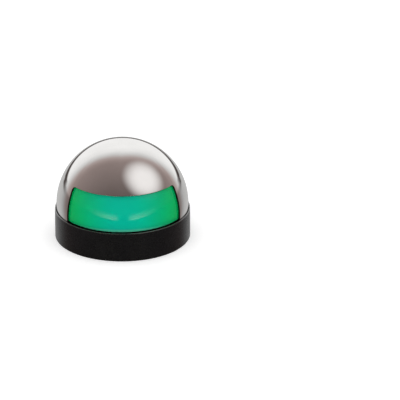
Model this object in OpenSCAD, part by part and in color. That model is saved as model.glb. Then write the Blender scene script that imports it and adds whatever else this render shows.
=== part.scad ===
// Round deck-mount side light: black base collar, domed steel cover with a sector window,
// green bell lens and a festoon bulb held in two fork contacts.
// Millimetres, +Z up. The origin is the centre of the flat underside, and the window faces -Y.

/* [Base] */
// Outer diameter of the base collar
base_d = 76; // [74:1:80]
// Height of the collar, to the top of its lip
base_h = 16.8; // [16.4:0.2:17.6]
// Thickness of the lip round the cover's edge
lip_t = 0.6; // [0.6:0.1:0.8]
// Thickness of the base floor
floor_t = 3; // [2.6:0.2:3.4]
// Distance between the two deck screws, front to back
mount_spacing = 49; // [47:1:50]
// Diameter of the deck screw holes
mount_hole_d = 4.5; // [4:0.1:5]
// Bore of the cable grommet
cable_bore_d = 5; // [3.5:0.5:6]

/* [Cover] */
// Sheet thickness of the cover
cover_t = 0.9; // [0.8:0.1:1]
// Gap between the cover and the collar's lip
cover_gap = 0.3; // [0.25:0.05:0.4]
// Height of the centre of the cover's hemisphere
cover_centre_z = 19.4; // [19:0.2:21]
// Angle of the window, seen from above
window_angle = 117; // [108:1:124]
// Height of the window's top edge
window_top = 37.2; // [34:0.2:39]
// Radius of the window's two upper corners
window_corner_r = 2; // [1:0.5:3]

/* [Lens] */
// Wall thickness of the lens
lens_t = 2.3; // [2:0.1:2.6]
// Gap between the cover and the lens
lens_gap = 0.35; // [0.3:0.05:0.5]

/* [Lamp] */
// Height of the bulb's axis
bulb_axis_z = 26; // [25:0.5:28]
// Overall length of the bulb
bulb_len = 39; // [38:0.5:41]
// Diameter of the bulb's glass
bulb_d = 10; // [9:0.5:11]

/* [Hidden] */
$fn = 96;
eps = 0.01;
through = 60;

// Radii outward from the axis, shared by the collar, the cover and the lens
base_r = base_d / 2;
lip_inner_r = base_r - lip_t;
cover_r = lip_inner_r - cover_gap;
cover_inner_r = cover_r - cover_t;
lens_r = cover_inner_r - lens_gap;
lens_inner_r = lens_r - lens_t;
spigot_gap = 0.3;
spigot_r = lens_inner_r - 0.25;
spigot_inner_r = spigot_r - 1.7;
bore_r = spigot_r + spigot_gap;

// Heights: the ledge inside the lip carries the gasket, and the gasket carries cover and lens
rim_gasket_t = 0.7;
ledge_z = base_h - 2;
seat_z = ledge_z + rim_gasket_t;
spigot_z = seat_z - 4.5;
lens_foot_top = seat_z + 2.4;
lens_foot_slope = 0.9;

// Seals
mount_gasket_t = 1.2;
mount_gasket_r = base_r - 2.5;
mount_gasket_w = 5;
gasket_side_gap = 0.15;
o_ring_r = 0.55;
o_ring_z = spigot_z + 1.9;
o_groove_depth = 0.9;
o_groove_w = 1.5;

// Cable grommet
grommet_r = cable_bore_d / 2 + 2.2;
grommet_flange_r = grommet_r + 1.5;
grommet_flange_t = 1.2;
grommet_gap = 0.1;

// Rear tongue of the cover and the screw that clamps it
tongue_half_angle = 6.8;
tongue_slot_half_angle = 7.4;
tongue_bottom_z = 6.2;
tongue_slot_z = 5.6;
tongue_back_gap = 0.25;
tongue_front_gap = 0.2;
cover_screw_z = 8;
cover_screw_r = 1.45;
cover_screw_slot_r = 1.8;
cover_screw_head_r = 2.6;
cover_screw_head_t = 0.75;
cover_screw_head_gap = 0.1;
insert_r = 2.3;
insert_len = 5;
insert_end_y = cover_inner_r - tongue_back_gap - 0.1;
insert_boss_w = 8;
insert_boss_h = 10.6;
running_gap = 0.05;

// Deck screw bosses
mount_boss_r = 4.5;
mount_boss_h = 5;

// Lamp tray and its fixings
tray_z = 10.5;
tray_t = 1.5;
tray_top = tray_z + tray_t;
tray_r = 30.5;
tray_hole_r = 4.6;
tray_rib_r = 21;
tray_rib_t = 1.2;
tray_rib_top = 16.4;
tray_rib_start = 10;
tray_rib_end = 62;
tray_post_r = 3;
tray_post_y = 13.5;
tray_screw_r = 1.45;
tray_screw_len = 6.5;
tray_screw_head_r = 2.7;
tray_screw_head_t = 2;
wire_slot_w = 9;
wire_slot_r = 2;
wire_slot_y = 5.5;

// Contacts: a foot on the tray, a bend, and an upright fork for the bulb's end
contact_t = 0.8;
contact_w = 10;
contact_bend_r = 1;
contact_foot_x = 8.5;
ear_w = 6.5;
ear_y = 13;
fork_gap = 0.2;
fork_height = 5;
fixing_x = contact_foot_x + ear_w / 2;
rivet_r = 1.2;
rivet_head_r = 2;
rivet_head_t = 0.6;
terminal_y = 9.5;
terminal_screw_r = 1.45;
terminal_head_r = 2.6;
terminal_head_t = 1.8;
washer_r = 2.9;
washer_t = 0.6;
nut_af = 5.5;
nut_t = 2.2;
screw_slot_w = 0.8;

// Facets of each rounded corner of the window
corner_steps = 6;

// Bulb
bulb_r = bulb_d / 2;
glass_t = 0.6;
glass_body_half = bulb_len / 2 - 11;
shoulder_r = 3.9;
glass_neck_r = 3.4;
glass_neck_end = bulb_len / 2 - 6.3;
cap_r = 3.7;
cap_t = 0.25;
cap_end = bulb_len / 2 - 3.8;
cap_start = glass_neck_end - 1.45;
stub_r = 2.9;
stub_tip_r = 1.2;
stub_tip_len = 0.9;
fork_face_x = cap_end + 0.3;
filament_r = 0.45;
filament_half = 6;
support_r = 0.2;

// A cylinder whose axis runs along +X, from x0 to x1
module rod_x(r, x0, x1) {
    translate([x0, 0, 0]) rotate([0, 90, 0]) cylinder(r = r, h = x1 - x0);
}

// A cylinder whose axis runs along +Y, from y0 to y1
module rod_y(r, y0, y1) {
    translate([0, y0, 0]) rotate([-90, 0, 0]) cylinder(r = r, h = y1 - y0);
}

// A ring of rectangular section, turned through part of a circle about the middle angle
module ring_sector(r0, r1, z0, z1, middle, half) {
    rotate([0, 0, middle - half])
        rotate_extrude(angle = 2 * half)
            translate([r0, z0]) square([r1 - r0, z1 - z0]);
}

// The upper right quarter of a ring, centred on the hemisphere's centre
module quarter_ring(r_out, r_in) {
    translate([0, cover_centre_z]) intersection() {
        difference() {
            circle(r = r_out);
            circle(r = r_in);
        }
        square(r_out + 1);
    }
}

// A pan-head screw standing on z = 0, head up, with a driver slot
module pan_screw(r, len, head_r, head_t) {
    difference() {
        union() {
            translate([0, 0, -len]) cylinder(r = r, h = len + eps);
            cylinder(r = head_r, h = head_t);
        }
        translate([-head_r - 1, -screw_slot_w / 2, head_t / 2])
            cube([2 * head_r + 2, screw_slot_w, head_t]);
    }
}

// Collar section: wall, ledge and rounded lip
module collar_section() {
    translate([bore_r, 0]) square([base_r - bore_r, ledge_z]);
    translate([lip_inner_r, ledge_z - 1]) square([lip_t, base_h - lip_t / 2 - ledge_z + 1]);
    translate([base_r - lip_t / 2, base_h - lip_t / 2]) circle(r = lip_t / 2);
    square([bore_r + 1, floor_t]);
}

module base() {
    color("#191a1c") difference() {
        union() {
            rotate_extrude() collar_section();
            for (s = [-1, 1]) {
                translate([0, s * mount_spacing / 2, 0]) cylinder(r = mount_boss_r, h = mount_boss_h);
                translate([0, s * tray_post_y, 0]) cylinder(r = tray_post_r, h = tray_z);
            }
            translate([-insert_boss_w / 2, insert_end_y - insert_len, 0])
                cube([insert_boss_w, bore_r + 1 - insert_end_y + insert_len, insert_boss_h]);
        }
        rotate_extrude() translate([mount_gasket_r - mount_gasket_w, -1])
            square([mount_gasket_w, mount_gasket_t + 1]);
        translate([0, 0, -1]) cylinder(r = grommet_r + grommet_gap, h = floor_t + 2);
        translate([0, 0, -1]) cylinder(r = grommet_flange_r + grommet_gap, h = grommet_flange_t + 1);
        for (s = [-1, 1]) {
            translate([0, s * mount_spacing / 2, -1]) cylinder(d = mount_hole_d, h = mount_boss_h + 2);
            translate([0, s * tray_post_y, tray_z - tray_screw_len])
                cylinder(r = tray_screw_r + running_gap, h = tray_screw_len + 1);
        }
        ring_sector(cover_inner_r - tongue_back_gap, cover_r + tongue_front_gap, tongue_slot_z,
            ledge_z + 1, 90, tongue_slot_half_angle);
        translate([0, 0, cover_screw_z]) {
            rod_y(insert_r + running_gap, insert_end_y - insert_len - 1, cover_r);
            rod_y(cover_screw_head_r + 0.3, cover_r, base_r + 1);
        }
    }
}

module mounting_gasket() {
    color("#2b2b2b") rotate_extrude()
        translate([mount_gasket_r - mount_gasket_w + gasket_side_gap, 0])
            square([mount_gasket_w - 2 * gasket_side_gap, mount_gasket_t]);
}

module cable_grommet() {
    color("#262626") difference() {
        union() {
            cylinder(r = grommet_r, h = floor_t + grommet_flange_t);
            cylinder(r = grommet_flange_r, h = grommet_flange_t);
            translate([0, 0, floor_t]) cylinder(r = grommet_flange_r, h = grommet_flange_t);
        }
        translate([0, 0, -1]) cylinder(d = cable_bore_d, h = floor_t + grommet_flange_t + 2);
    }
}

module rim_gasket() {
    color("#101010") difference() {
        rotate_extrude() translate([bore_r + gasket_side_gap, ledge_z])
            square([cover_r + 0.1 - bore_r - gasket_side_gap, rim_gasket_t]);
        ring_sector(cover_inner_r - tongue_back_gap, base_r, ledge_z - 1, seat_z + 1,
            90, tongue_slot_half_angle);
    }
}

// Lens section below the hemisphere: wall, inner foot and grooved spigot
module lens_wall_section() {
    groove_r = spigot_r - o_groove_depth;
    polygon([[spigot_inner_r, spigot_z], [spigot_r, spigot_z],
        [spigot_r, o_ring_z - o_groove_w / 2], [groove_r, o_ring_z - o_groove_w / 2],
        [groove_r, o_ring_z + o_groove_w / 2], [spigot_r, o_ring_z + o_groove_w / 2],
        [spigot_r, seat_z], [lens_r, seat_z], [lens_r, cover_centre_z],
        [lens_inner_r, cover_centre_z], [lens_inner_r, lens_foot_top],
        [spigot_inner_r, lens_foot_top - lens_foot_slope]]);
}

module lens() {
    color([0, 0.65, 0.42, 0.8]) rotate_extrude() {
        lens_wall_section();
        quarter_ring(lens_r, lens_inner_r);
    }
}

module lens_o_ring() {
    color("#202020") rotate_extrude()
        translate([(bore_r + spigot_r - o_groove_depth) / 2, o_ring_z]) circle(r = o_ring_r);
}

// Outline of one end of the window: x is outward across the end, y is height. The last facet of
// the rounded corner runs on past the window's top, where window_cut() ends it.
module window_end() {
    r = window_corner_r;
    bottom = tongue_bottom_z - 1;
    arc = [for (i = [0 : corner_steps - 1]) let (t = 90 * (1 - i / corner_steps))
        [r * sin(t), window_top - r + r * cos(t)]];
    polygon(concat([[-through, bottom], [r, bottom]], arc,
        [[-1.5 * r, window_top + 0.5], [-through, window_top + 0.5]]));
}

// The window is the front of the light, as far up as its top, between its two rounded ends
module window_cut() {
    corner_height = window_top - window_corner_r - cover_centre_z;
    corner_ring_r = sqrt(cover_r * cover_r - corner_height * corner_height);
    end_angle = window_angle / 2 - asin(window_corner_r / corner_ring_r);
    intersection() {
        translate([-through, -through, tongue_bottom_z - 1])
            cube([2 * through, through, window_top - tongue_bottom_z + 1]);
        rotate([0, 0, end_angle]) rotate([90, 0, 0]) translate([0, 0, -through])
            linear_extrude(2 * through) window_end();
        rotate([0, 0, -end_angle]) rotate([90, 0, 0]) translate([0, 0, -through])
            linear_extrude(2 * through) mirror([1, 0]) window_end();
    }
}

module dome_cover() {
    color("#c9cacc") difference() {
        rotate_extrude() {
            translate([cover_inner_r, tongue_bottom_z])
                square([cover_t, cover_centre_z - tongue_bottom_z]);
            quarter_ring(cover_r, cover_inner_r);
        }
        ring_sector(cover_inner_r - 1, cover_r + 1, tongue_bottom_z - 1, seat_z,
            270, 180 - tongue_half_angle);
        window_cut();
        translate([0, 0, cover_screw_z]) rod_y(cover_screw_slot_r, cover_inner_r - 3, base_r);
        translate([-cover_screw_slot_r, cover_inner_r - 3, tongue_bottom_z - 1])
            cube([2 * cover_screw_slot_r, 6, cover_screw_z - tongue_bottom_z + 1]);
    }
}

module cover_screw() {
    head_y = cover_r + cover_screw_head_gap;
    color("#b8b8ba") translate([0, 0, cover_screw_z]) difference() {
        union() {
            rod_y(cover_screw_r, insert_end_y - insert_len + 0.5, head_y + eps);
            rod_y(cover_screw_head_r, head_y, head_y + cover_screw_head_t);
        }
        translate([-cover_screw_head_r, head_y + cover_screw_head_t / 2, -screw_slot_w / 2])
            cube([2 * cover_screw_head_r, 1, screw_slot_w]);
    }
}

module cover_screw_insert() {
    color("#c7a24a") translate([0, 0, cover_screw_z]) difference() {
        rod_y(insert_r, insert_end_y - insert_len, insert_end_y);
        rod_y(cover_screw_r + running_gap, insert_end_y - insert_len - 1, insert_end_y + 1);
    }
}

module lamp_tray() {
    color("#eeeeea") difference() {
        union() {
            translate([0, 0, tray_z]) cylinder(r = tray_r, h = tray_t);
            for (s = [-1, 1])
                ring_sector(tray_rib_r - tray_rib_t, tray_rib_r, tray_z, tray_rib_top,
                    270 + s * (tray_rib_start + tray_rib_end) / 2,
                    (tray_rib_end - tray_rib_start) / 2);
        }
        for (s = [-1, 1]) {
            translate([0, s * mount_spacing / 2, tray_z - 1])
                cylinder(r = tray_hole_r, h = tray_t + 2);
            translate([0, s * tray_post_y, tray_z - 1])
                cylinder(r = tray_screw_r + 0.15, h = tray_t + 2);
            translate([s * fixing_x, 0, tray_z - 1])
                cylinder(r = rivet_r + running_gap, h = tray_t + 2);
            translate([s * fixing_x, terminal_y, tray_z - 1])
                cylinder(r = terminal_screw_r + 0.15, h = tray_t + 2);
            translate([s * (wire_slot_w / 2 - wire_slot_r), wire_slot_y, tray_z - 1])
                cylinder(r = wire_slot_r, h = tray_t + 2);
        }
        translate([wire_slot_r - wire_slot_w / 2, wire_slot_y - wire_slot_r, tray_z - 1])
            cube([wire_slot_w - 2 * wire_slot_r, 2 * wire_slot_r, tray_t + 2]);
    }
}

module tray_screws() {
    color("#b8b8ba") for (s = [-1, 1])
        translate([0, s * tray_post_y, tray_top])
            pan_screw(tray_screw_r, tray_t + tray_screw_len - 0.5, tray_screw_head_r, tray_screw_head_t);
}

// Side view of a contact: x outward from the middle of the light, y is height
module contact_section() {
    bend_out_r = contact_bend_r + contact_t;
    bend_x = fork_face_x - contact_bend_r;
    bend_z = tray_top + bend_out_r;
    translate([contact_foot_x, tray_top]) square([bend_x - contact_foot_x, contact_t]);
    translate([fork_face_x, bend_z])
        square([contact_t, bulb_axis_z + fork_height - bend_z]);
    intersection() {
        translate([bend_x, bend_z]) difference() {
            circle(r = bend_out_r);
            circle(r = contact_bend_r);
        }
        translate([bend_x, tray_top - 1]) square([bend_out_r + 1, bend_out_r + 1]);
    }
}

// The contact on the side of the light that s names: -1 is left and 1 is right
module contact(s) {
    color("#d3a94e") mirror([s < 0 ? 1 : 0, 0, 0]) difference() {
        union() {
            translate([0, contact_w / 2, 0]) rotate([90, 0, 0])
                linear_extrude(contact_w) contact_section();
            translate([contact_foot_x, 0, tray_top]) cube([ear_w, ear_y, contact_t]);
        }
        translate([0, 0, bulb_axis_z]) {
            rod_x(stub_r + fork_gap, fork_face_x - 1, fork_face_x + 2);
            translate([fork_face_x - 1, -stub_r - fork_gap, 0])
                cube([3, 2 * (stub_r + fork_gap), fork_height + 1]);
        }
        translate([fixing_x, 0, tray_top - 1]) cylinder(r = rivet_r + running_gap, h = 3);
        translate([fixing_x, terminal_y, tray_top - 1]) cylinder(r = terminal_screw_r + 0.15, h = 3);
    }
}

module left_contact() {
    contact(-1);
}

module right_contact() {
    contact(1);
}

module contact_rivets() {
    bottom = tray_z - rivet_head_t;
    top = tray_top + contact_t + rivet_head_t;
    color("#c7a24a") for (s = [-1, 1]) translate([s * fixing_x, 0, bottom]) {
        cylinder(r = rivet_r, h = top - bottom);
        cylinder(r = rivet_head_r, h = rivet_head_t);
        translate([0, 0, top - bottom - rivet_head_t]) cylinder(r = rivet_head_r, h = rivet_head_t);
    }
}

module terminal_screws() {
    head_z = tray_top + contact_t + washer_t;
    color("#c9b27a") for (s = [-1, 1]) translate([s * fixing_x, terminal_y, head_z])
        pan_screw(terminal_screw_r, head_z - tray_z + nut_t + 0.3, terminal_head_r, terminal_head_t);
}

module terminal_washers() {
    color("#c9b27a") for (s = [-1, 1])
        translate([s * fixing_x, terminal_y, tray_top + contact_t]) difference() {
            cylinder(r = washer_r, h = washer_t);
            translate([0, 0, -1]) cylinder(r = terminal_screw_r + 0.15, h = washer_t + 2);
        }
}

module terminal_nuts() {
    color("#c7a24a") for (s = [-1, 1])
        translate([s * fixing_x, terminal_y, tray_z - nut_t]) difference() {
            cylinder(r = nut_af / sqrt(3), h = nut_t, $fn = 6);
            translate([0, 0, -1]) cylinder(r = terminal_screw_r + running_gap, h = nut_t + 2);
        }
}

// Half section of the bulb's glass, x outward from its axis and y along it, shrunk by inset
module glass_section(inset, neck_end) {
    reach = bulb_len;
    translate([0, -glass_body_half]) square([bulb_r - inset, 2 * glass_body_half]);
    intersection() {
        for (s = [-1, 1])
            translate([bulb_r - shoulder_r, s * glass_body_half]) circle(r = shoulder_r - inset);
        translate([0, -reach / 2]) square([reach, reach]);
    }
    translate([0, -neck_end]) square([glass_neck_r - inset, 2 * neck_end]);
}

module bulb_glass() {
    color([0.95, 0.97, 1, 0.4]) translate([0, 0, bulb_axis_z]) rotate([0, 90, 0])
        rotate_extrude() difference() {
            glass_section(0, glass_neck_end);
            glass_section(glass_t, glass_neck_end + 1);
        }
}

// End cap on the side that s names, with the stub that lies in the fork
module bulb_cap(s) {
    tip_x = bulb_len / 2;
    color("#b9b4a6") translate([0, 0, bulb_axis_z]) mirror([s < 0 ? 1 : 0, 0, 0]) rotate([0, 90, 0])
        rotate_extrude() polygon([[0, cap_end - 0.8], [cap_r - cap_t, cap_end - 0.8],
            [cap_r - cap_t, cap_start], [cap_r, cap_start], [cap_r, cap_end], [stub_r, cap_end],
            [stub_r, tip_x - stub_tip_len], [stub_tip_r, tip_x], [0, tip_x]]);
}

module bulb_left_cap() {
    bulb_cap(-1);
}

module bulb_right_cap() {
    bulb_cap(1);
}

module bulb_filament() {
    color("#8a8a8a") translate([0, 0, bulb_axis_z]) rod_x(filament_r, -filament_half, filament_half);
}

module filament_supports() {
    color("#9c9c9c") translate([0, 0, bulb_axis_z]) for (s = [-1, 1])
        mirror([s < 0 ? 1 : 0, 0, 0]) rod_x(support_r, filament_half, cap_end - 0.8);
}

base();
mounting_gasket();
cable_grommet();
rim_gasket();
lens();
lens_o_ring();
dome_cover();
cover_screw();
cover_screw_insert();
lamp_tray();
tray_screws();
left_contact();
right_contact();
contact_rivets();
terminal_screws();
terminal_washers();
terminal_nuts();
bulb_glass();
bulb_left_cap();
bulb_right_cap();
bulb_filament();
filament_supports();
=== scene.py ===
import math

import bmesh
import bpy
from mathutils import Matrix, Vector


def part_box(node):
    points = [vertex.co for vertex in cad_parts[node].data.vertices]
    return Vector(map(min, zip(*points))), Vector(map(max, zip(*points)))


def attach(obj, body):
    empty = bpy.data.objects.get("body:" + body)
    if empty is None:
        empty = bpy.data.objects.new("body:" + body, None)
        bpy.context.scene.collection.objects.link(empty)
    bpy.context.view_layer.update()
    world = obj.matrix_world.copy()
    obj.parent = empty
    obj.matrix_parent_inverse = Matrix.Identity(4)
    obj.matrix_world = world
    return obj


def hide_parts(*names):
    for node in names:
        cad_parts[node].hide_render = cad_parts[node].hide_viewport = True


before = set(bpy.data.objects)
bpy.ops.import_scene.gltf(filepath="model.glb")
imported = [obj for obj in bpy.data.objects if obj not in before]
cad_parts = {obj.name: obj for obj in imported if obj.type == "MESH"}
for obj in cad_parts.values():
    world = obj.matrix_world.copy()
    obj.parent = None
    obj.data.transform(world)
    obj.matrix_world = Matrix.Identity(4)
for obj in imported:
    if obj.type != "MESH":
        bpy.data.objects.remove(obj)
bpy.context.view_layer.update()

MM = 0.001
TAU = 2 * math.pi


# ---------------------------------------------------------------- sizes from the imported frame

def top(node):
    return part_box(node)[1]


def bottom(node):
    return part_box(node)[0]


base_r = top("base").x
base_h = top("base").z
cover_r = top("dome_cover").x
cover_top = top("dome_cover").z
tongue_bottom = bottom("dome_cover").z
lens_r = top("lens").x
spigot_bottom = bottom("lens").z
seat = top("rim_gasket").z
ledge = bottom("rim_gasket").z
bulb_axis = (top("bulb_left_cap").z + bottom("bulb_left_cap").z) / 2
bulb_half = top("bulb_right_cap").x
cap_r = top("bulb_right_cap").y
glass_r = top("bulb_glass").y
glass_half = top("bulb_glass").x
tray_bottom = bottom("lamp_tray").z
cover_centre = cover_top - cover_r

# Wall thicknesses and other sizes inside a node, which its box can't give
cover_t = 0.9 * MM
lens_t = 2.3 * MM
lip_t = 0.6 * MM
floor_t = 3.0 * MM
lens_inner_r = lens_r - lens_t
spigot_r = lens_inner_r - 0.25 * MM
spigot_inner_r = spigot_r - 1.7 * MM
bore_r = spigot_r + 0.3 * MM
lip_inner_r = base_r - lip_t
window_top = 37.2 * MM
window_corner = 2.0 * MM
window_end = math.radians(55.085)
tongue_half = math.radians(6.8)
slot_half = math.radians(7.4)
screw_z = 8.0 * MM
near_black_top = base_h + 0.25 * MM


# ---------------------------------------------------------------- outlines

def arc(cx, cy, r, a0, a1, n):
    """n + 1 points of an arc about (cx, cy), in degrees."""
    return [(cx + r * math.cos(math.radians(a0 + (a1 - a0) * i / n)),
             cy + r * math.sin(math.radians(a0 + (a1 - a0) * i / n))) for i in range(n + 1)]


def rounded(points, radii, steps=4):
    """A closed outline with its corners rounded. radii is one radius or one per corner."""
    n = len(points)
    if not isinstance(radii, (list, tuple)):
        radii = [radii] * n
    out = []
    for i, p in enumerate(points):
        p = Vector(p)
        a, b = Vector(points[i - 1]) - p, Vector(points[(i + 1) % n]) - p
        half = a.angle(b) / 2 if min(a.length, b.length) > 1e-9 else math.pi / 2
        r = radii[i]
        if r <= 0 or half > math.radians(87):
            out.append(tuple(p))
            continue
        reach = min(r / math.tan(half), 0.45 * a.length, 0.45 * b.length)
        r = reach * math.tan(half)
        a.normalize()
        b.normalize()
        centre = p + (a + b).normalized() * (r / math.sin(half))
        start, end = p + a * reach - centre, p + b * reach - centre
        turn = start.angle_signed(end)
        for k in range(steps + 1):
            v = start.copy()
            v.rotate(Matrix.Rotation(-turn * k / steps, 2))
            out.append(tuple(centre + v))
    return out


# ---------------------------------------------------------------- meshes

def turned(outline, steps=192, start=0.0, sweep=TAU, axis="z", offset=(0, 0, 0)):
    """A closed outline of (radius, height) points turned about an axis."""
    bm = bmesh.new()
    full = abs(sweep - TAU) < 1e-9
    count = steps if full else steps + 1
    rings = []
    for r, h in outline:
        ring = []
        for k in range(count):
            if r < 1e-8 and ring:
                ring.append(ring[0])
                continue
            a = start + sweep * k / steps
            x, y = r * math.cos(a), r * math.sin(a)
            p = (x, y, h) if axis == "z" else (h, x, y) if axis == "x" else (x, h, y)
            ring.append(bm.verts.new(Vector(p) + Vector(offset)))
        rings.append(ring)
    n = len(rings)
    for i in range(n):
        a, b = rings[i], rings[(i + 1) % n]
        for k in range(steps):
            m = (k + 1) % count
            corners = []
            for v in (a[k], a[m], b[m], b[k]):
                if v not in corners:
                    corners.append(v)
            if len(corners) > 2:
                bm.faces.new(corners)
    if not full:
        bm.faces.new([r[0] for r in rings])
        bm.faces.new([r[-1] for r in rings])
    bmesh.ops.recalc_face_normals(bm, faces=bm.faces)
    return bm


def rod(r, z0, z1, x=0.0, y=0.0, edge=0.0, axis="z", steps=48, z=0.0):
    """A round rod with softened ends."""
    outline = rounded([(0, z0), (r, z0), (r, z1), (0, z1)], [0, edge, edge, 0], 3)
    offset = (x, y, 0) if axis == "z" else (0, y, z) if axis == "x" else (x, 0, z)
    return turned(outline, steps, axis=axis, offset=offset)


def block(lo, hi):
    """A box from its lowest corner to its highest."""
    bm = bmesh.new()
    bmesh.ops.create_cube(bm, size=1.0)
    for v in bm.verts:
        v.co = Vector([lo[i] if v.co[i] < 0 else hi[i] for i in range(3)])
    return bm


def add(bm, name="shape"):
    """Makes an object of a mesh."""
    me = bpy.data.meshes.new(name)
    bm.to_mesh(me)
    bm.free()
    o = bpy.data.objects.new(name, me)
    bpy.context.scene.collection.objects.link(o)
    return o


def combine(o, bm, how):
    """Joins a shape to o, or cuts it out."""
    tool = add(bm)
    m = o.modifiers.new("combine", "BOOLEAN")
    m.operation, m.solver, m.object = how, "EXACT", tool
    dg = bpy.context.evaluated_depsgraph_get()
    made = bpy.data.meshes.new_from_object(o.evaluated_get(dg))
    o.modifiers.clear()
    old, o.data = o.data, made
    bpy.data.meshes.remove(old)
    bpy.data.meshes.remove(tool.data)


def soften(bm, width, angle=38, segments=2):
    """Rounds the edges that are sharper than an angle in degrees."""
    edges = [e for e in bm.edges if len(e.link_faces) == 2
             and e.calc_face_angle(0) > math.radians(angle)]
    bmesh.ops.bevel(bm, geom=edges, offset=width, offset_type="OFFSET", segments=segments,
                    profile=0.5, affect="EDGES", clamp_overlap=True)
    bmesh.ops.recalc_face_normals(bm, faces=bm.faces)


def refined(node, width, angle=38):
    """A CAD node's shape with its edges softened as moulding, pressing or turning leaves them."""
    bm = bmesh.new()
    bm.from_mesh(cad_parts[node].data)
    bmesh.ops.remove_doubles(bm, verts=bm.verts, dist=2e-6)
    bmesh.ops.dissolve_limit(bm, angle_limit=math.radians(0.6), verts=bm.verts, edges=bm.edges)
    soften(bm, width, angle)
    return bm


def piece(name, shape, body, materials, replaces=(), sharp=35, paint=None):
    """Finishes a piece: smooth shading, its materials, its body and the nodes it stands for."""
    o = add(shape, name) if isinstance(shape, bmesh.types.BMesh) else shape
    o.name = name
    me = o.data
    me.name = name
    me.materials.clear()
    for m in materials:
        me.materials.append(m)
    for p in me.polygons:
        p.use_smooth = True
        p.material_index = paint(p) if paint else 0
    me.set_sharp_from_angle(angle=math.radians(sharp))
    w = o.modifiers.new("weighted", "WEIGHTED_NORMAL")
    w.keep_sharp, w.weight = True, 50
    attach(o, body)
    if replaces:
        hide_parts(*replaces)
    return o


# ---------------------------------------------------------------- materials

class Graph:
    """Adds nodes to a material or to the world, one short call for each node."""

    def __init__(self, tree):
        self.tree = tree

    def feed(self, socket, value):
        """Links another node's output to a socket, or sets the socket to a constant."""
        if isinstance(value, bpy.types.NodeSocket):
            self.tree.links.new(value, socket)
        elif isinstance(value, tuple) and len(value) == 3 and socket.type == "RGBA":
            socket.default_value = (*value, 1)
        else:
            socket.default_value = value

    def node(self, kind, **settings):
        n = self.tree.nodes.new("ShaderNode" + kind)
        for key, value in settings.items():
            setattr(n, key, value)
        return n

    def place(self, kind):
        return self.node("TexCoord").outputs[kind]

    def split(self, vector):
        n = self.node("SeparateXYZ")
        self.feed(n.inputs["Vector"], vector)
        return n.outputs["X"], n.outputs["Y"], n.outputs["Z"]

    def noise(self, vector, scale, detail, output="Fac"):
        n = self.node("TexNoise")
        self.feed(n.inputs["Vector"], vector)
        n.inputs["Scale"].default_value = scale
        n.inputs["Detail"].default_value = detail
        return n.outputs[output]

    def ramp(self, value, stops):
        """Colours along a value, from (position, colour) stops."""
        n = self.node("ValToRGB")
        elements = n.color_ramp.elements
        elements[0].position, elements[1].position = stops[0][0], stops[-1][0]
        for at, colour in stops[1:-1]:
            elements.new(at)
        for e, (at, colour) in zip(elements, stops):
            e.color = (*colour, 1)
        self.feed(n.inputs["Fac"], value)
        return n.outputs["Color"]

    def step(self, value, low, high, to=(0, 1), smooth=True):
        n = self.node("MapRange", interpolation_type="SMOOTHSTEP" if smooth else "LINEAR")
        n.inputs["From Min"].default_value = low
        n.inputs["From Max"].default_value = high
        n.inputs["To Min"].default_value, n.inputs["To Max"].default_value = to
        self.feed(n.inputs["Value"], value)
        return n.outputs["Result"]

    def maths(self, how, a, b=0.0, clamp=False):
        n = self.node("Math", operation=how, use_clamp=clamp)
        self.feed(n.inputs[0], a)
        self.feed(n.inputs[1], b)
        return n.outputs["Value"]

    def blend(self, factor, a, b, how="MIX"):
        n = self.node("Mix", data_type="RGBA", blend_type=how)
        for name, value in (("Factor", factor), ("A", a), ("B", b)):
            self.feed(n.inputs[name], value)
        return n.outputs["Result"]

    def relief(self, height, depth):
        n = self.node("Bump")
        n.inputs["Strength"].default_value = 1.0
        n.inputs["Distance"].default_value = depth
        self.feed(n.inputs["Height"], height)
        return n.outputs["Normal"]


def principled(name):
    """A new material, the graph that its nodes go into, and its shader's sockets."""
    m = bpy.data.materials.new(name)
    m.use_nodes = True
    return m, Graph(m.node_tree), m.node_tree.nodes["Principled BSDF"].inputs


def material(name, low, high, rough, scale=300, rough_spread=0.05, bump=0.02, bump_scale=1500,
             detail=4, stretch=(1, 1, 1), wear=None, **sockets):
    """A Principled material whose colour, roughness and relief vary over the surface."""
    m, g, shader = principled(name)
    spread = g.node("Mapping")
    spread.inputs["Scale"].default_value = stretch
    g.feed(spread.inputs["Vector"], g.place("Object"))
    place = spread.outputs["Vector"]
    stops = [(0.3, low), (0.66, high), (0.86, wear)] if wear else [(0.3, low), (0.7, high)]
    g.feed(shader["Base Color"], g.ramp(g.noise(place, scale, detail), stops))
    g.feed(shader["Roughness"], g.step(g.noise(place, scale * 2.3, detail), 0.3, 0.7,
                                       (max(rough - rough_spread, 0.01), rough + rough_spread),
                                       smooth=False))
    if bump:
        g.feed(shader["Normal"], g.relief(g.noise(place, bump_scale, 3), bump * MM))
    for key, value in sockets.items():
        shader[key.replace("_", " ")].default_value = value
    return m


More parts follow.
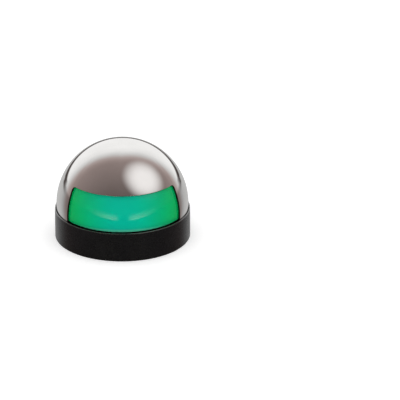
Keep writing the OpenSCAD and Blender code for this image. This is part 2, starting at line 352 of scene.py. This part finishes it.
def tinted_lens(name, rough, bump):
    """Green plastic: teal in the window's middle, a purer green painted towards its ends for light
    crossing more plastic at a slant, a painted highlight as a paler band just above the collar,
    and near black from just above the collar's lip down."""
    m, g, shader = principled(name)
    place = g.place("Object")
    x, y, z = g.split(place)
    # Painted: the purer green towards the window's ends stands in for light crossing more plastic at a
    # slant there.
    side = g.step(g.maths("ABSOLUTE", x), 0.1 * lens_r, 0.95 * lens_r)
    # Painted highlight: the paler band just above the collar stands in for light carried down inside the
    # wall.
    foot = g.step(z, near_black_top + 2.0 * MM, near_black_top + 0.3 * MM)
    # Near black from just above the collar's lip downward.
    near_black_mask = g.step(z, near_black_top + 0.12 * MM, near_black_top - 0.12 * MM)
    colour = g.blend(side, (0.0, 0.80, 0.54), (0.0, 0.72, 0.165))
    colour = g.blend(g.maths("SUBTRACT", foot, side, clamp=True), colour, (0.14, 1.0, 0.60))
    colour = g.blend(0.12, colour, g.noise(place, 60, 3, "Color"), "MULTIPLY")
    g.feed(shader["Base Color"], g.blend(near_black_mask, colour, (0.003, 0.005, 0.004)))
    g.feed(shader["Normal"], g.relief(g.noise(place, 900, 2), bump * MM))
    shader["Roughness"].default_value = rough
    shader["IOR"].default_value = 1.49
    shader["Specular IOR Level"].default_value = 0.28
    shader["Transmission Weight"].default_value = 0.5
    return m


collar_black = material("collar_black_plastic", (0.0036, 0.0036, 0.0042), (0.0056, 0.0056, 0.0063), 0.28,
                        scale=160, rough_spread=0.04, bump=0.003, bump_scale=2600,
                        Specular_IOR_Level=0.4)
collar_lip = material("collar_lip_plastic", (0.0036, 0.0036, 0.0042), (0.0056, 0.0056, 0.0063), 0.22,
                      scale=160, rough_spread=0.04, bump=0.002, bump_scale=2600,
                      Specular_IOR_Level=0.9, Coat_Weight=1.0, Coat_IOR=1.9, Coat_Roughness=0.2)
gasket_black = material("gasket_rubber", (0.012, 0.012, 0.012), (0.03, 0.03, 0.029), 0.82,
                        scale=700, bump=0.05, bump_scale=1800)
rubber_black = material("grommet_rubber", (0.010, 0.010, 0.011), (0.022, 0.022, 0.022), 0.62,
                        scale=500, bump=0.02)
steel = material("polished_stainless", (0.80, 0.79, 0.775), (0.85, 0.84, 0.825), 0.06,
                 scale=90, rough_spread=0.015, bump=0.0006, bump_scale=1400, Metallic=1.0)
steel_inside = material("drawn_stainless", (0.52, 0.51, 0.50), (0.64, 0.63, 0.61), 0.34,
                        scale=200, rough_spread=0.06, bump=0.006, bump_scale=900,
                        stretch=(1, 1, 0.2), Metallic=1.0)
# Painted shade: near-black metal on the cover's cut edges, where the gap beside the lens lies in shadow.
cut_edge_painted_shade = material("sheared_edge_painted_shade", (0.022, 0.018, 0.017), (0.05, 0.04, 0.037), 0.45,
                     scale=900, rough_spread=0.06, bump=0.01, bump_scale=2400,
                     stretch=(1, 1, 6), Metallic=1.0)
screw_steel = material("screw_stainless", (0.55, 0.55, 0.54), (0.66, 0.655, 0.64), 0.24,
                       scale=800, bump=0.003, bump_scale=2500, Metallic=1.0)
brass = material("brass", (0.68, 0.46, 0.17), (0.80, 0.58, 0.26), 0.28, scale=500,
                 bump=0.004, bump_scale=1800, Metallic=1.0)
contact_brass = material("spring_brass", (0.66, 0.45, 0.18), (0.82, 0.61, 0.28), 0.25, scale=220,
                         bump=0.004, bump_scale=900, stretch=(1, 6, 1),
                         wear=(0.50, 0.30, 0.12), Metallic=1.0)
terminal_brass = material("plated_brass", (0.70, 0.60, 0.38), (0.80, 0.71, 0.50), 0.27, scale=700,
                          bump=0.003, bump_scale=2200, Metallic=1.0)
tray_white = material("white_plastic", (0.80, 0.80, 0.77), (0.87, 0.87, 0.85), 0.42, scale=260,
                      bump=0.008, bump_scale=1600)
cap_metal = material("cap_metal", (0.62, 0.59, 0.52), (0.74, 0.71, 0.64), 0.3, scale=500,
                     bump=0.01, bump_scale=1300, Metallic=1.0)
solder = material("solder", (0.52, 0.52, 0.51), (0.66, 0.66, 0.65), 0.38, scale=900, bump=0.03,
                  bump_scale=900, Metallic=1.0)
tungsten = material("tungsten", (0.16, 0.16, 0.17), (0.24, 0.24, 0.25), 0.45, scale=3000,
                    bump=0.001, bump_scale=6000, Metallic=1.0)
lead_wire = material("lead_wire", (0.42, 0.38, 0.33), (0.55, 0.50, 0.44), 0.35, scale=1500,
                     bump=0.001, bump_scale=4000, Metallic=1.0)
bulb_clear = material("bulb_glass", (0.97, 0.98, 0.98), (1.0, 1.0, 1.0), 0.02, scale=120,
                      rough_spread=0.01, bump=0.002, bump_scale=250, IOR=1.47,
                      Transmission_Weight=1.0)
lens_outside = tinted_lens("green_lens_polished", 0.03, 0.0006)
lens_inside = tinted_lens("green_lens_satin", 0.2, 0.006)

node_finish = {
    "base": collar_black, "mounting_gasket": gasket_black, "cable_grommet": rubber_black,
    "rim_gasket": rubber_black, "lens": lens_outside, "lens_o_ring": rubber_black,
    "dome_cover": steel, "cover_screw": screw_steel, "cover_screw_insert": brass,
    "lamp_tray": tray_white, "tray_screws": screw_steel, "left_contact": contact_brass,
    "right_contact": contact_brass, "contact_rivets": brass, "terminal_screws": terminal_brass,
    "terminal_washers": terminal_brass, "terminal_nuts": terminal_brass,
    "bulb_glass": bulb_clear, "bulb_left_cap": cap_metal, "bulb_right_cap": cap_metal,
    "bulb_filament": tungsten, "filament_supports": lead_wire}
for node, finish in node_finish.items():
    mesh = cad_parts[node].data
    mesh.materials.clear()
    mesh.materials.append(finish)


# ---------------------------------------------------------------- collar

def make_collar():
    """The moulded base: wall, lip, ledge, floor, bosses and the slot for the cover's tongue."""
    hole_r, flange_r, flange_t = 4.8 * MM, 6.3 * MM, 1.2 * MM
    groove_r, groove_w = 35.5 * MM, 5 * MM
    outline = [(flange_r, 0), (groove_r - groove_w, 0), (groove_r - groove_w, flange_t),
               (groove_r, flange_t), (groove_r, 0), (base_r, 0), (base_r, base_h),
               (lip_inner_r, base_h), (lip_inner_r, ledge), (bore_r, ledge), (bore_r, floor_t),
               (hole_r, floor_t), (hole_r, flange_t), (flange_r, flange_t)]
    edges = [0.2, 0.2, 0.1, 0.1, 0.2, 0.45, 0, 0, 0.12, 0.25, 0.8, 0.2, 0.1, 0.1]
    edges = [e * MM for e in edges]
    edges[6] = edges[7] = 0.999 * lip_t / 2  # the lip's top is a full round
    o = add(turned(rounded(outline, edges, 5), 256))
    under = 1 * MM
    boss_y, boss_r, boss_top, deck_hole_r = 24.5 * MM, 4.5 * MM, 5 * MM, 2.25 * MM
    post_y, post_r, post_hole_r = 13.5 * MM, 3 * MM, 1.5 * MM
    for s in (-1, 1):
        combine(o, rod(boss_r, under, boss_top, y=s * boss_y, edge=0.3 * MM, steps=96), "UNION")
        combine(o, rod(post_r, under, tray_bottom, y=s * post_y, edge=0.15 * MM, steps=72), "UNION")
    insert_y, insert_len, insert_r = 35.85 * MM, 5 * MM, 2.35 * MM
    lug_x, lug_top = 4 * MM, 10.6 * MM
    lug = block((-lug_x, insert_y - insert_len, under), (lug_x, bore_r + 1 * MM, lug_top))
    soften(lug, 0.4 * MM, 38, 3)
    combine(o, lug, "UNION")
    for s in (-1, 1):
        combine(o, rod(deck_hole_r, -1 * MM, 7 * MM, y=s * boss_y, steps=72), "DIFFERENCE")
        combine(o, rod(post_hole_r, 4 * MM, 12 * MM, y=s * post_y, steps=48), "DIFFERENCE")
    slot_in, slot_out, slot_low, slot_high = 35.95 * MM, 37.3 * MM, 5.6 * MM, 15.8 * MM
    slot = turned([(slot_in, slot_low), (slot_out, slot_low), (slot_out, slot_high),
                   (slot_in, slot_high)], 24, math.pi / 2 - slot_half, 2 * slot_half)
    combine(o, slot, "DIFFERENCE")
    head_y, head_r = 37.1 * MM, 2.9 * MM
    combine(o, rod(insert_r, insert_y - insert_len - 1 * MM, head_y, axis="y", z=screw_z),
            "DIFFERENCE")
    combine(o, rod(head_r, head_y, base_r + 1 * MM, axis="y", z=screw_z, steps=72), "DIFFERENCE")
    return o


def collar_side(p):
    """The lip is glossier than the rest."""
    return 1 if p.center.z > base_h - 0.8 * lip_t else 0


piece("collar", make_collar(), "base", [collar_black, collar_lip], ["base"],
      paint=collar_side, sharp=30)



# ---------------------------------------------------------------- seals and grommet

def flat_ring(inner_r, outer_r, low, high, edge, steps):
    """The outline of a flat ring with rounded edges."""
    return rounded([(inner_r, low), (outer_r, low), (outer_r, high), (inner_r, high)], edge, steps)


def make_foam_gasket():
    """The seal against the deck, in a groove of the collar's underside."""
    outer_r, thickness = top("mounting_gasket").x, top("mounting_gasket").z
    return turned(flat_ring(outer_r - 4.7 * MM, outer_r, 0, thickness, 0.3 * MM, 4), 192)


def make_grommet():
    """The rubber ring that grips the edge of the cable's hole in the floor."""
    cable_r, neck_r, flange_r, flange_t = 2.5 * MM, 4.7 * MM, 6.2 * MM, 1.2 * MM
    height = top("cable_grommet").z
    outline = [(cable_r, 0), (flange_r, 0), (flange_r, flange_t), (neck_r, flange_t),
               (neck_r, floor_t), (flange_r, floor_t), (flange_r, height), (cable_r, height)]
    edges = [0.5, 0.3, 0.3, 0, 0, 0.3, 0.5, 0.5]
    return turned(rounded(outline, [e * MM for e in edges], 4), 96)


def make_cover_gasket():
    """The seal under the cover's edge, open at the back for the cover's tongue."""
    outline = flat_ring(bore_r + 0.15 * MM, cover_r + 0.1 * MM, ledge, seat, 0.15 * MM, 3)
    return turned(outline, 192, math.pi / 2 + slot_half, TAU - 2 * slot_half)


def make_lens_ring():
    """The O-ring in the spigot's groove."""
    lo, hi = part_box("lens_o_ring")
    r = (hi.z - lo.z) / 2
    return turned(arc(hi.x - r, (hi.z + lo.z) / 2, r, 0, 345, 23), 192)


piece("foam_gasket", make_foam_gasket(), "base", [gasket_black],
      ["mounting_gasket"])
piece("grommet", make_grommet(), "base", [rubber_black], ["cable_grommet"])
piece("cover_gasket", make_cover_gasket(), "base", [rubber_black], ["rim_gasket"])


# ---------------------------------------------------------------- lens

def make_lens():
    """The bell: a hemisphere on a short wall, an inner foot, and a spigot grooved for its ring."""
    foot = seat + 2.4 * MM
    ring_z, groove_h, groove_d = spigot_bottom + 1.9 * MM, 0.75 * MM, 0.9 * MM
    deep = spigot_r - groove_d
    low = [(spigot_inner_r, spigot_bottom), (spigot_r, spigot_bottom),
           (spigot_r, ring_z - groove_h), (deep, ring_z - groove_h), (deep, ring_z + groove_h),
           (spigot_r, ring_z + groove_h), (spigot_r, seat), (lens_r, seat),
           (lens_r, cover_centre), (lens_inner_r, cover_centre), (lens_inner_r, foot),
           (spigot_inner_r, foot - 0.9 * MM)]
    edges = [0.3, 0.5, 0.15, 0.15, 0.15, 0.15, 0.2, 0.35, 0, 0, 0.4, 0.3]
    shape = rounded(low, [e * MM for e in edges], 4)
    outer = (lens_r, cover_centre)
    at = min(range(len(shape)), key=lambda i: (Vector(shape[i]) - Vector(outer)).length)
    outside = arc(0, cover_centre, lens_r, 0, 90, 56)
    inside = arc(0, cover_centre, lens_inner_r, 90, 0, 56)
    outside[-1], inside[0] = (0, outside[-1][1]), (0, inside[0][1])
    return turned(shape[:at] + outside + inside + shape[at + 2:], 224)


def lens_side(p):
    """The outside and the foot are polished, and the inside of the bell is satin."""
    inner = Vector((p.center.x, p.center.y, max(p.center.z - cover_centre, 0))).length
    return 1 if p.center.z > seat + 2.3 * MM and inner < lens_r - lens_t / 2 else 0


piece("green_lens", make_lens(), "lens", [lens_outside, lens_inside], ["lens"],
      paint=lens_side)
piece("lens_ring", make_lens_ring(), "lens", [rubber_black], ["lens_o_ring"])


# ---------------------------------------------------------------- cover

def ring_at(z):
    """Radius of the cover's outside at a height."""
    rise = max(z - cover_centre, 0)
    return math.sqrt(max(cover_r ** 2 - rise ** 2, 0))


def side_angle(z):
    """Where the window's straight end lies at a height, measured round from its middle."""
    return window_end + math.asin(min(window_corner / ring_at(z), 1))


def make_cover():
    """The pressed cover: hemisphere, skirt, window and slotted rear tongue, as one sheet."""
    bm = bmesh.new()
    placed = {}

    def vert(angle, z, pole=False):
        key = (round(angle % TAU, 6) % round(TAU, 6), round(z, 8)) if not pole else "pole"
        if key not in placed:
            r = 0 if pole else ring_at(z)
            placed[key] = bm.verts.new((r * math.sin(angle), -r * math.cos(angle), z))
        return placed[key]

    def face(*points):
        corners = []
        for p in points:
            if p not in corners:
                corners.append(p)
        if len(corners) > 2:
            bm.faces.new(corners)

    corner_low = window_top - window_corner
    corner_angle = math.asin((corner_low - cover_centre) / cover_r)
    top_angle = math.asin((window_top - cover_centre) / cover_r)
    lower_n, upper_n = 17, 40
    lower = [seat, seat + 1.3 * MM, seat + 2.6 * MM]
    lower += [cover_centre + cover_r * math.sin(corner_angle * k / lower_n)
              for k in range(lower_n + 1)]
    lower.append(window_top)
    upper = [cover_centre + cover_r * math.sin(top_angle + (math.pi / 2 - top_angle) * k / upper_n)
             for k in range(upper_n)]

    # Columns of faces, from the window's corner round one side, across the tongue and back
    slot_r, slot_n = 1.8 * MM, 8
    slot_x = [-slot_r * math.cos(math.pi * k / slot_n) for k in range(slot_n + 1)]
    slot_a = [math.asin(x / cover_r) for x in slot_x]
    quarter = math.radians(90)
    corner = side_angle(window_top)
    half = [corner + (quarter - corner) * k / 20 for k in range(20)]
    half += [quarter + (math.pi - tongue_half - quarter) * k / 52 for k in range(52)]
    half += [math.pi - tongue_half + (tongue_half + slot_a[0]) * k / 3 for k in range(3)]
    rear = half + [math.pi + a for a in slot_a] + [TAU - a for a in reversed(half)]

    def column(a, z):
        """A column's angle at a height: those beside the window follow its straight ends."""
        if z >= window_top:
            return a
        edge = side_angle(min(z, corner_low)) if z < corner_low + 1e-9 else corner
        if a < quarter:
            return quarter - (quarter - a) * (quarter - edge) / (quarter - corner)
        if a > TAU - quarter:
            return TAU - quarter + (a - TAU + quarter) * (quarter - edge) / (quarter - corner)
        return a

    for z0, z1 in zip(lower, lower[1:]):
        for a0, a1 in zip(rear, rear[1:]):
            face(vert(column(a0, z0), z0), vert(column(a1, z0), z0),
                 vert(column(a1, z1), z1), vert(column(a0, z1), z1))
    front_n = 46
    front = [-window_end + 2 * window_end * k / front_n for k in range(front_n + 1)]
    around = [-corner] + front + [corner] + rear[1:]
    for i, z0 in enumerate(upper):
        last = i + 1 == len(upper)
        z1 = cover_top if last else upper[i + 1]
        for a0, a1 in zip(around, around[1:]):
            face(vert(a0, z0), vert(a1, z0), vert(a1, z1, last), vert(a0, z1, last))

    # The window's rounded corners
    bend_n = 8
    for s in (-1, 1):
        hub = vert(s * corner, window_top)
        bend = []
        for k in range(bend_n + 1):
            t = math.pi / 2 * (1 - k / bend_n)
            z = corner_low + window_corner * math.cos(t)
            x = window_corner * math.sin(t)
            bend.append(vert(s * (window_end + math.asin(x / ring_at(z))), z))
        for p, q in zip(bend, bend[1:]):
            face(hub, p, q)

    # The tongue, with its slot open at the bottom
    tongue = [a for a in rear if abs(a - math.pi) < tongue_half + 1e-6]
    bridge = screw_z + slot_r + 0.7 * MM
    heights = [tongue_bottom, screw_z, bridge, bridge + 2.4 * MM, seat]
    for z0, z1 in zip(heights, heights[1:]):
        for a0, a1 in zip(tongue, tongue[1:]):
            inside = abs((a0 + a1) / 2 - math.pi) < slot_a[-1]
            if inside and z1 <= screw_z + 1e-9:
                continue
            if inside and z1 <= bridge + 1e-9:
                low = [screw_z + math.sqrt(max(slot_r ** 2 - (cover_r * math.sin(a - math.pi)) ** 2, 0))
                       for a in (a0, a1)]
                face(vert(a0, low[0]), vert(a1, low[1]), vert(a1, z1), vert(a0, z1))
                continue
            face(vert(a0, z0), vert(a1, z0), vert(a1, z1), vert(a0, z1))

    # The inside face and the cut edges
    bmesh.ops.recalc_face_normals(bm, faces=bm.faces)
    outer_faces = list(bm.faces)
    rim = [e for e in bm.edges if len(e.link_faces) == 1]
    inner = {}
    for v in list(bm.verts):
        rise = max(v.co.z - cover_centre, 0)
        n = Vector((v.co.x, v.co.y, rise)).normalized()
        inner[v] = bm.verts.new(v.co - n * cover_t)
    for f in outer_faces:
        bm.faces.new([inner[v] for v in reversed(f.verts)])
    for e in rim:
        a, b = e.verts
        bm.faces.new([a, b, inner[b], inner[a]])
    bmesh.ops.recalc_face_normals(bm, faces=bm.faces)
    soften(bm, 0.13 * MM, 50, 3)
    return bm


def cover_side(p):
    """Polished outside, drawn inside, and painted shade on the sheet's cut edges."""
    out = Vector((p.center.x, p.center.y, max(p.center.z - cover_centre, 0))).normalized()
    facing = out.dot(p.normal)
    return 0 if facing > 0.9 else 1 if facing < -0.9 else 2


piece("steel_cover", make_cover(), "cover", [steel, steel_inside, cut_edge_painted_shade],
      ["dome_cover"], paint=cover_side, sharp=40)


# ---------------------------------------------------------------- fixings, tray and contacts

piece("cover_screw_head", refined("cover_screw", 0.12 * MM), "base", [screw_steel],
      ["cover_screw"])
piece("threaded_insert", refined("cover_screw_insert", 0.1 * MM), "base", [brass],
      ["cover_screw_insert"])
piece("tray", refined("lamp_tray", 0.22 * MM), "base", [tray_white], ["lamp_tray"])
piece("tray_fixings", refined("tray_screws", 0.28 * MM), "base", [screw_steel],
      ["tray_screws"])
for side in ("left", "right"):
    piece(side + "_fork", refined(side + "_contact", 0.1 * MM), "base",
          [contact_brass], [side + "_contact"])
piece("rivets", refined("contact_rivets", 0.22 * MM), "base", [brass], ["contact_rivets"])
piece("terminal_fixings", refined("terminal_screws", 0.25 * MM), "base",
      [terminal_brass], ["terminal_screws"])
piece("washers", refined("terminal_washers", 0.1 * MM), "base", [terminal_brass],
      ["terminal_washers"])
piece("nuts", refined("terminal_nuts", 0.15 * MM, 28), "base", [brass],
      ["terminal_nuts"])


# ---------------------------------------------------------------- bulb

def make_bulb_glass():
    """Tubular envelope with rounded shoulders and a neck that goes into each cap."""
    body, neck_r, shoulder_r, wall = 8.5 * MM, 3.4 * MM, 3.9 * MM, 0.6 * MM
    centre = glass_r - shoulder_r

    def half(inset):
        r = shoulder_r - inset
        reach = math.degrees(math.acos((neck_r - inset - centre) / r))
        return arc(centre, body, r, 0, reach, 10) + [(neck_r - inset, glass_half)]

    outer, inner = half(0), half(wall)
    path = [(r, -z) for r, z in reversed(outer)] + outer
    back = [(r, -z) for r, z in reversed(inner)] + inner
    return turned(path + list(reversed(back)), 96, axis="x", offset=(0, 0, bulb_axis))


def make_cap(s):
    """A cup over the glass's neck, with a narrower tip. s is -1 for the left and 1 for the right."""
    start, end = bottom("bulb_right_cap").x, bulb_half - 3.8 * MM
    cup_floor, cup_r = end - 0.8 * MM, cap_r - 0.25 * MM
    tip_r, solder_r, solder_h = 2.9 * MM, 1.2 * MM, 0.9 * MM
    outline = [(0, cup_floor), (cup_r, cup_floor), (cup_r, start), (cap_r, start), (cap_r, end),
               (tip_r, end), (tip_r, bulb_half - solder_h), (solder_r, bulb_half), (0, bulb_half)]
    edges = [0, 0.2, 0.1, 0.1, 0.7, 0.35, 0.5, 0.5, 0]
    shape = rounded(outline, [e * MM for e in edges], 4)
    return turned([(r, s * z) for r, z in shape], 96, axis="x", offset=(0, 0, bulb_axis))


def cap_tip(p):
    """The solder on a cap's end."""
    return 1 if abs(p.center.x) > bulb_half - 0.7 * MM else 0


def swept(path, r, sides=8):
    """A round wire along a path, with flat ends."""
    bm = bmesh.new()
    rings = []
    side = None
    for i, p in enumerate(path):
        way = (path[min(i + 1, len(path) - 1)] - path[max(i - 1, 0)]).normalized()
        if side is None:
            side = way.orthogonal().normalized()
        side = (side - way * side.dot(way)).normalized()
        other = way.cross(side)
        rings.append([bm.verts.new(p + (side * math.cos(TAU * k / sides)
                                        + other * math.sin(TAU * k / sides)) * r) for k in range(sides)])
    for a, b in zip(rings, rings[1:]):
        for k in range(sides):
            m = (k + 1) % sides
            bm.faces.new([a[k], a[m], b[m], b[k]])
    bm.faces.new(rings[0])
    bm.faces.new(rings[-1])
    bmesh.ops.recalc_face_normals(bm, faces=bm.faces)
    return bm


def make_filament():
    """The coil, wound between the two lead wires."""
    wire_r, turns, per_turn = 0.055 * MM, 44, 18
    half = top("bulb_filament").x - wire_r
    coil_r = top("bulb_filament").y - wire_r
    points = []
    for i in range(turns * per_turn + 1):
        t = i / (turns * per_turn)
        r = coil_r * min(1.0, 10 * t, 10 * (1 - t)) ** 0.5
        a = TAU * turns * t
        points.append(Vector(((2 * t - 1) * half, r * math.cos(a), bulb_axis + r * math.sin(a))))
    return swept(points, wire_r, 6)


def make_lead_wires():
    """A straight wire from each end of the coil to its cap."""
    start, end = top("bulb_filament").x, top("filament_supports").x
    wire_r = 0.98 * top("filament_supports").y
    both = bmesh.new()
    for s in (-1, 1):
        line = [Vector((s * (start + (end - start) * k / 12), 0, bulb_axis)) for k in range(13)]
        one = swept(line, wire_r, 12)
        part = bpy.data.meshes.new("wire")
        one.to_mesh(part)
        one.free()
        both.from_mesh(part)
        bpy.data.meshes.remove(part)
    return both


piece("bulb_envelope", make_bulb_glass(), "bulb", [bulb_clear], ["bulb_glass"])
piece("left_cap", make_cap(-1), "bulb", [cap_metal, solder], ["bulb_left_cap"],
      paint=cap_tip)
piece("right_cap", make_cap(1), "bulb", [cap_metal, solder], ["bulb_right_cap"],
      paint=cap_tip)
piece("filament_coil", make_filament(), "bulb", [tungsten], ["bulb_filament"], sharp=60)
piece("lead_wires", make_lead_wires(), "bulb", [lead_wire], ["filament_supports"])


# ---------------------------------------------------------------- floor, light and camera

def make_floor():
    """A white floor that glows a little. Reflections don't see it."""
    bm = bmesh.new()
    bmesh.ops.create_grid(bm, x_segments=24, y_segments=24, size=3.0)
    o = add(bm, "floor")
    m = material("floor_white", (0.90, 0.90, 0.90), (0.93, 0.93, 0.93), 0.9, scale=3, bump=0.05,
                 bump_scale=40, Emission_Strength=0.3, Specular_IOR_Level=0.1)
    m.node_tree.nodes["Principled BSDF"].inputs["Emission Color"].default_value = (1, 1, 1, 1)
    o.data.materials.append(m)
    o.visible_glossy = False


def make_surroundings():
    """A white studio: bright behind and overhead, dim and warm in front, with one soft lamp at the
    upper right and two low soft panels in front. Only reflections see this. Other rays see white."""
    world = bpy.data.worlds.new("studio")
    bpy.context.scene.world = world
    world.use_nodes = True
    g = Graph(world.node_tree)
    way = g.place("Generated")
    x, y, z = g.split(way)
    side = g.maths("ABSOLUTE", x)

    # Brightness from the front of the room to its back, warm where it is dim
    warm = (1.18, 0.936, 0.885)
    levels = [(0.0, 0.10), (0.25, 0.17), (0.45, 0.225), (0.55, 0.255), (0.607, 0.31), (0.66, 0.43),
              (0.725, 0.72), (0.784, 0.93), (0.86, 1.02)]
    stops = []
    for at, level in levels:
        tint = min(max((0.7 - level) / 0.4, 0), 1)
        stops.append((at, [level * (w * tint + 1 - tint) for w in warm]))
    depth = g.step(g.maths("SUBTRACT", y, g.maths("MULTIPLY", side, 0.18)), -1, 1, smooth=False)
    studio = g.ramp(depth, stops)

    # Dimmer below the horizon
    studio = g.blend(g.step(z, 0.02, -0.06), studio, (0.55, 0.55, 0.55), "MULTIPLY")

    # The lamp
    lamp = g.node("VectorMath", operation="DOT_PRODUCT")
    g.feed(lamp.inputs[0], way)
    lamp.inputs[1].default_value = Vector((0.568, -0.27, 0.773)).normalized()
    rim, core = math.cos(math.radians(39)), math.cos(math.radians(3))
    studio = g.blend(g.step(lamp.outputs["Value"], rim, core), studio, (1.0, 0.975, 0.97))

    # The dark edge where the table ends, behind the light
    off_edge = g.maths("ABSOLUTE", g.maths("ADD", z, 0.04))
    skyline = g.maths("MULTIPLY", g.step(off_edge, 0.095, 0.035), g.step(y, 0.5, 0.8))
    studio = g.blend(skyline, studio, (0.075, 0.062, 0.058))

    # The two panels, curved up at their outer ends
    level = g.maths("SUBTRACT", z, g.maths("MULTIPLY", g.maths("MULTIPLY", x, x), 0.14))
    tall = g.maths("MULTIPLY", g.step(level, -0.185, -0.15), g.step(level, 0.06, -0.14))
    wide = g.maths("MULTIPLY", g.step(side, 0.10, 0.3), g.step(side, 0.95, 0.35))
    panels = g.maths("MULTIPLY", tall, g.maths("MULTIPLY", wide, g.step(y, -0.2, -0.4)))
    studio = g.blend(panels, studio, (2.6, 2.5, 1.7))

    # What each kind of ray sees, with more light for the rays that come out through the lens
    ray = g.node("LightPath").outputs
    background = world.node_tree.nodes["Background"].inputs
    g.feed(background["Color"], g.blend(ray["Is Glossy Ray"], (1.0, 1.0, 1.0), studio))
    through = g.maths("MULTIPLY", ray["Is Transmission Ray"], g.step(y, 0.3, -0.2))
    g.feed(background["Strength"], g.maths("ADD", g.maths("MULTIPLY", through, 3.0), 1.0))


def make_camera():
    """A long lens at the photograph's angle, aimed beside the light, which so stands on the left."""
    turn = math.radians(-2.8)
    tilt = math.radians(23.401)
    far, across, aim_z = 2.5, 43.55 * MM, 20.95 * MM

    def turned_to(x, y, z):
        return Vector((x * math.cos(turn) - y * math.sin(turn), x * math.sin(turn) + y * math.cos(turn), z))

    aim = turned_to(across, 0, aim_z)
    spot = turned_to(across, -far * math.cos(tilt), aim_z + far * math.sin(tilt))
    data = bpy.data.cameras.new("camera")
    data.sensor_width = 36
    data.lens = 400.58
    data.clip_end = 20
    cam = bpy.data.objects.new("camera", data)
    cam.location = spot
    cam.rotation_euler = (aim - spot).to_track_quat("-Z", "Y").to_euler()
    bpy.context.scene.collection.objects.link(cam)
    bpy.context.scene.camera = cam


make_floor()
make_surroundings()
make_camera()
bpy.context.scene.view_settings.view_transform = "Standard"
